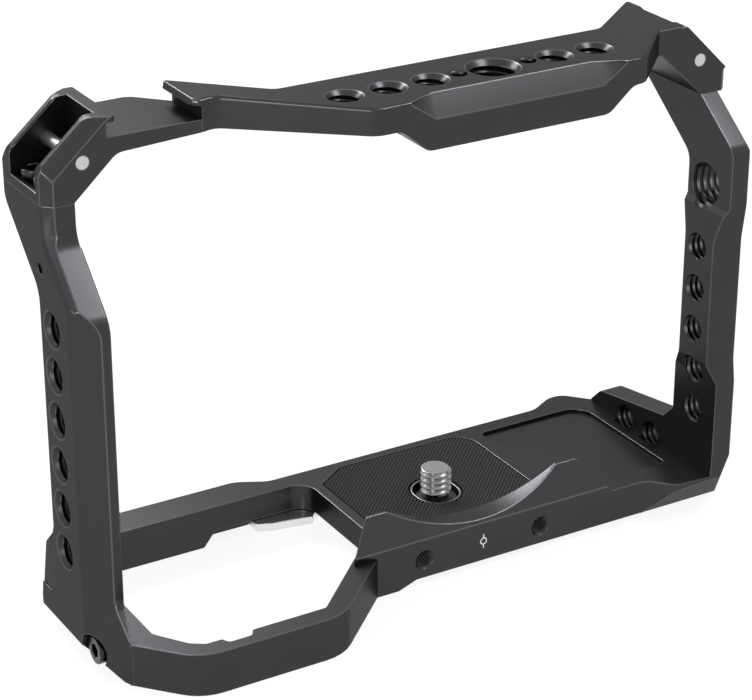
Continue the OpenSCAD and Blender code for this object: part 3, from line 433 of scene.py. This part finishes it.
thread_row(body, quarter_tap, (RIGHT_TAP_X, RIGHT_ROW_Y, RIGHT_LOWEST_Z), (0, 0, PITCH),
           range(5), PLUS_X, past=1.5)
thread_hole(body, eighths_tap, (LARGE_TAP_X, RIGHT_ROW_Y, RIGHT_LARGE_Z), PLUS_X, past=2)
thread_row(body, quarter_tap, (WALL_TAP_X, WALL_FIRST_Y, WALL_HOLE_Z), (0, WALL_PITCH, 0),
           range(2), PLUS_X, past=0.2)
thread_row(body, quarter_tap, (BAR_LARGE_X, BAR_ROW_Y, BAR_TOP_Z), (PITCH, 0, 0),
           (-3.5, -2.5, -1.5, 1.5, 2.5), DOWN, past=1)
thread_hole(body, eighths_tap, (BAR_LARGE_X, BAR_ROW_Y, BAR_TOP_Z), DOWN, past=1.2)
thread_row(body, front_tap, (0, FRONT_FACE_Y, FRONT_HOLE_Z), (FRONT_HOLE_X, 0, 0),
           (-1, 1), PLUS_Y, past=1)
tidy_flats(body)

# Worked edges of the frame
LEFT_SLANT = Vector((-8.3, 0, 9.4)).normalized()      # outer slant of the left block
RIGHT_SLANT = Vector((1, 0, 1)).normalized()          # and of the right corner
LEFT_SLANT_X, LEFT_SLANT_Z = -71.4, 89.2              # the left slant is left of X, above Z
RIGHT_SLANT_X, RIGHT_SLANT_Z = 46, 89                 # the right one is right of X, above Z
SEAM_Z = 88.8                # lower face of the strap block, where the left upright meets it
LOCATING_REACH = 7.55        # small holes of the bar, from the large one
LOCATING_LAND = 2.1          # round each of them, no edge is rounded
FRONT_LAND = 2.9             # nor round the mouth of a front hole
FRONT_RIM_X, FRONT_RIM_Y = -55, -2.5        # the top front rim is right of X, ahead of Y
NEAR_TOP_Z = 98


def smooth_part(edge):
    """True where no thread is next to the edge."""
    return all(f.material_index != THREAD for f in edge.link_faces)


def on_slant(edge):
    """The rims of the two slanted corner faces, which are worked rounder than the rest."""
    p = middle(edge)
    left = p.x < LEFT_SLANT_X and p.z > LEFT_SLANT_Z
    right = p.x > RIGHT_SLANT_X and p.z > RIGHT_SLANT_Z
    rim = ((left and any(f.normal.dot(LEFT_SLANT) > 0.995 for f in edge.link_faces))
           or (right and any(f.normal.dot(RIGHT_SLANT) > 0.995 for f in edge.link_faces)))
    return rim and turn(edge) > 20 and edge.calc_length() > 0.3 * MM


def by_locating_hole(edge):
    """Near the two small holes beside the large thread, whose lands are too thin to round."""
    p = middle(edge)
    holes = (BAR_LARGE_X - LOCATING_REACH, BAR_LARGE_X + LOCATING_REACH)
    return p.z > NEAR_TOP_Z and any(hypot(p.x - x, p.y - BAR_ROW_Y) < LOCATING_LAND for x in holes)


def by_front_hole(edge):
    """At the mouth of a threaded hole of the front face, which is left sharp and dark."""
    p = middle(edge)
    return (p.y < FRONT_FACE_Y + 0.3
            and any(hypot(p.x - x, p.z - FRONT_HOLE_Z) < FRONT_LAND for x in (-FRONT_HOLE_X, FRONT_HOLE_X)))


def on_front_rim(edge):
    """The top front edge from the wing over the bar to the right corner."""
    p = middle(edge)
    level = any(f.normal.z > 0.99 for f in edge.link_faces)
    upright_face = any(f.normal.y < -0.3 and abs(f.normal.z) < 0.1 for f in edge.link_faces)
    return p.z > BAR_TOP_Z - 0.2 and p.x > FRONT_RIM_X and p.y < FRONT_RIM_Y and level and upright_face


def to_be_broken(edge):
    """Every other sharp edge of the frame, apart from the seam with the left upright."""
    return (sharp(edge) and smooth_part(edge) and not by_locating_hole(edge) and not by_front_hole(edge)
            and abs(middle(edge).z - SEAM_Z) > 0.1)


round_edges(body, width=0.7, steps=4, test=lambda e: on_front_rim(e) and smooth_part(e), face_slot=PLAIN)
round_edges(body, width=0.5, steps=4, test=lambda e: on_slant(e) and smooth_part(e), face_slot=PLAIN)
# the rounded faces of these edges take the lighter grey of the painted edge highlight
round_edges(body, width=0.18, steps=2, test=to_be_broken)

# Rim of the screw's slot, in a lighter grey that paints the highlight of its rounded edge
SLOT_RIM_LOW_Z, SLOT_RIM_TOP_Z = 8, 8.75
SLOT_RIM_REACH_X, SLOT_RIM_REACH_Y = 5.3, 6


def round_screw_slot(face):
    p = drawn(face.calc_center_median())
    return (SLOT_RIM_LOW_Z < p.z < SLOT_RIM_TOP_Z and abs(p.x) < SLOT_RIM_REACH_X
            and abs(p.y) < SLOT_RIM_REACH_Y)


edit(body, "FACE")
pick(body, "faces", round_screw_slot)
body.active_material_index = RIM
object_op.material_slot_assign()
done()
shade(body)
finish(body, "frame", "frame", *FRAME_NODES)

# Left upright
LEFT_FACE_X, LEFT_ROW_Y, LEFT_LOWEST_Z = -83.8, -5.2, 20.9
SMALL_HOLE_Y, SMALL_HOLE_Z = -1.5, 76.4
ROUNDED_LOW_Z = 8             # no edge is rounded wider below this height
upright = copy_of("left_upright_dressed", nodes["left_upright"])
dress(upright, frame_grey, painted_edge_highlight, slot_rim_painted_highlight, thread_grey)
thread_row(upright, quarter_tap, (LEFT_FACE_X, LEFT_ROW_Y, LEFT_LOWEST_Z), (0, 0, PITCH),
           range(6), PLUS_X, past=0.4)
thread_hole(upright, small_tap, (LEFT_FACE_X, SMALL_HOLE_Y, SMALL_HOLE_Z), PLUS_X, past=0.2)
tidy_flats(upright)


def down_the_front(edge):
    """The long front edge of the outer face, above the foot."""
    p = middle(edge)
    outer = p.x < LEFT_FACE_X + 0.6 and all(f.normal.x < -0.4 for f in edge.link_faces)
    rise = abs(edge.verts[0].co.z - edge.verts[1].co.z)
    return (outer and turn(edge) > 20 and -16 < p.y < -2.5 and p.z > ROUNDED_LOW_Z and rise > 3 * MM
            and smooth_part(edge))


round_edges(upright, width=0.9, steps=5, test=down_the_front, face_slot=PLAIN)
# the rounded faces of these edges take the lighter grey of the painted edge highlight
round_edges(upright, width=0.18, steps=2, test=lambda e: sharp(e) and smooth_part(e))
shade(upright)
finish(upright, "frame", "frame", "left_upright")


# Pieces that keep their shape, with worked edges
def worked(name, node, rides_on, slot, material, width=0.12, steps=2):
    p = copy_of(name, nodes[node])
    tidy_flats(p)
    dress(p, material, material)
    round_edges(p, width, steps, sharp)
    shade(p)
    finish(p, rides_on, slot, node)


worked("strap_pin_left_turned", "strap_pin_left", "frame", "steel", pin_steel)
worked("strap_pin_right_turned", "strap_pin_right", "frame", "steel", pin_steel)
worked("corner_bolts_worked", "corner_bolts", "frame", "black_steel", bolt_steel, width=0.3, steps=3)
worked("foot_bolt_worked", "foot_bolt", "frame", "black_steel", bolt_steel, width=0.2, steps=3)
worked("flat_tool_worked", "flat_tool", "tool", "steel", tool_steel, width=0.18)
worked("tool_magnets_plated", "tool_magnets", "frame", "magnet", nickel, width=0.1)
# the ring's near-black partly paints the shadow in the screw's slot
worked("screw_ring_moulded", "screw_ring", "ring", "black_plastic", nylon_ring_and_slot_shade)
worked("upright_liner_cut", "upright_liner", "frame", "rubber", liner_rubber, width=0.08, steps=1)

# Ribbed pad
RIB = 0.70                # from rib to rib, on lines at 45 degrees
RIB_DEPTH = 0.34
RIBS_FROM = (0, 1, 8)     # a crest runs over this place
HALF_LINES = 70           # grooves and crests to each side of it
RIBBED_Z = 8.7            # the rubber above this height is ribbed
across = Vector((1, -1, 0)).normalized()
pad = copy_of("seat_pad_ribbed", nodes["base_pad"])
tidy_flats(pad)
dress(pad, pad_rubber, pad_rubber)
edit(pad, "EDGE")
for i in range(-HALF_LINES, HALF_LINES + 1):
    mesh_op.select_all(action="SELECT")
    mesh_op.bisect(plane_co=at(*RIBS_FROM) + across * (i * RIB / 2) * MM, plane_no=across,
                   threshold=MERGE / 2)
done()
for v in pad.data.vertices:
    d = drawn(v.co)
    if d.z > RIBBED_Z:
        line = Vector((d.x - RIBS_FROM[0], d.y - RIBS_FROM[1], 0)).dot(across) / RIB
        v.co.z -= RIB_DEPTH * abs(line - round(line)) * 2 * MM
only(pad)
object_op.shade_flat()
finish(pad, "frame", "rubber", "base_pad")

# Camera screw
SCREW_X = 0.25
THREAD_START_Z = 5.2          # sets where the turns lie; what is below the next height is cut off
THREAD_LOW_Z, THREAD_LENGTH = 8.6, 5.4
NECK_LOW_Z, NECK_LENGTH, NECK_RADIUS = 7.4, 2, 2.5
PLAIN_TOP_Z = 7.7              # the plain screw of the drawing is kept below this
ENVELOPE_RADIUS = 3.3         # the thread is cut to this bar, whose rounded end gives it its lead-in
CLEAR_RADIUS, CLEAR_LENGTH = 5, 8


def round_bar(radius, low, length):
    """A bar on the screw's axis."""
    mesh_op.primitive_cylinder_add(vertices=64, radius=radius * MM, depth=length * MM,
                                   location=at(SCREW_X, 0, low + length / 2))
    return bpy.context.object


screw = copy_of("camera_screw_plain", nodes["camera_screw"])
thread = threaded_rod("camera_screw_threaded", crest=3.175, root=2.55, pitch=1.27, turns=8,
                      steps=40, rounded=True)
thread.location = at(SCREW_X, 0, THREAD_START_Z)
settle(thread)
envelope = round_bar(ENVELOPE_RADIUS, THREAD_LOW_Z, THREAD_LENGTH)
round_edges(envelope, width=0.5, steps=3, test=lambda e: turn(e) > 60)
combine(thread, envelope, "INTERSECT")
neck = round_bar(NECK_RADIUS, NECK_LOW_Z, NECK_LENGTH)
combine(screw, round_bar(CLEAR_RADIUS, PLAIN_TOP_Z, CLEAR_LENGTH), "DIFFERENCE")
combine(screw, neck, "UNION")
combine(thread, screw, "UNION")
dress(thread, screw_steel, screw_steel)
shade(thread, 50)
finish(thread, "screw", "steel", "camera_screw")

# Index mark: a ring with two strokes, printed on the front face
MARK_Z = 5.85
MARK_PROUD = 0.02             # middle of the raised mark, ahead of the front face
MARK_THINNED = 0.2            # share of its thickness that the ink has
RING_RADIUS, LINE_RADIUS = 0.68, 0.12
STROKE_SIZE, STROKE_REACH = (0.24, 0.1, 0.8), 1.15
mark_y = FRONT_FACE_Y - MARK_PROUD
mesh_op.primitive_torus_add(location=at(0, mark_y, MARK_Z), rotation=(radians(90), 0, 0),
                            major_radius=RING_RADIUS * MM, minor_radius=LINE_RADIUS * MM,
                            major_segments=40, minor_segments=8)
mark = bpy.context.object
mark.name = "index_mark"
settle(mark)
for side in (-1, 1):
    mesh_op.primitive_cube_add(size=1, location=at(0, mark_y, MARK_Z + side * STROKE_REACH))
    stroke = bpy.context.object
    stroke.scale = [s * MM for s in STROKE_SIZE]
    settle(stroke)
    combine(mark, stroke, "UNION")
for v in mark.data.vertices:
    raised = v.co.y - at(0, mark_y, 0).y
    v.co.y = at(0, mark_y, 0).y + raised * MARK_THINNED
dress(mark, paint)
shade(mark)
finish(mark, "frame", "frame")

for tap in taps:
    bpy.data.objects.remove(tap)


# Studio
def shown(tree):
    """1 for rays that look at the backdrop, straight or in a reflection; 0 for the light it throws."""
    rays = add(tree, "ShaderNodeLightPath")
    either = add(tree, "ShaderNodeMath", {
        0: rays.outputs["Is Camera Ray"], 1: rays.outputs["Is Glossy Ray"]}, operation="MAXIMUM")
    return add(tree, "ShaderNodeMath", {
        0: either.outputs[0], 1: rays.outputs["Is Transmission Ray"]}, operation="MAXIMUM").outputs[0]


def pale_floor():
    """A pale card that throws light back, and that looks white but for the object's soft shadow."""
    m, t = blank_material("pale_floor")
    white = add(t, "ShaderNodeEmission", {"Color": (1, 1, 1, 1), "Strength": 0.9})
    card = add(t, "ShaderNodeBsdfDiffuse", {"Color": (0.8, 0.8, 0.8, 1)})
    shadow = add(t, "ShaderNodeBsdfDiffuse", {"Color": (0.12, 0.12, 0.12, 1)})
    seen = add(t, "ShaderNodeAddShader", {0: white.outputs[0], 1: shadow.outputs[0]})
    mixed = add(t, "ShaderNodeMixShader", {0: shown(t), 1: card.outputs[0], 2: seen.outputs[0]})
    add(t, "ShaderNodeOutputMaterial", {"Surface": mixed.outputs[0]})
    return m


object_op.select_all(action="DESELECT")
mesh_op.primitive_plane_add(size=4, location=(0, 0, 0))
floor = bpy.context.object
floor.name = "floor"
dress(floor, pale_floor())

world = bpy.data.worlds.new("studio")
bpy.context.scene.world = world
world.use_nodes = True
t = world.node_tree
t.nodes.clear()
backdrop = add(t, "ShaderNodeBackground", {"Color": (1, 1, 1, 1), "Strength": 1.0})
room = add(t, "ShaderNodeBackground", {"Color": (1, 1, 1, 1), "Strength": 0.5})
both = add(t, "ShaderNodeMixShader", {0: shown(t), 1: room.outputs[0], 2: backdrop.outputs[0]})
add(t, "ShaderNodeOutputWorld", {"Surface": both.outputs[0]})

LAMP_AIM = Vector((0, 0, 0.05))      # metres, as the lamps' places and sizes are


def softbox(name, place, size, watts):
    """A rectangular lamp that is aimed at the middle of the cage."""
    object_op.light_add(type="AREA", location=place)
    lamp = bpy.context.object
    lamp.name = name
    lamp.data.shape = "RECTANGLE"
    lamp.data.size, lamp.data.size_y = size
    lamp.data.energy = watts
    lamp.rotation_mode = "QUATERNION"
    lamp.rotation_quaternion = (LAMP_AIM - Vector(place)).to_track_quat("-Z", "Y")


softbox("softbox_back", (-0.084, 0.7, 0.62), size=(0.7, 0.2), watts=8)
softbox("softbox_above", (0.3, -0.2, 0.66), size=(0.3, 0.22), watts=2.4)
softbox("softbox_left", (-0.7, -0.35, 0.3), size=(0.25, 0.5), watts=2.5)
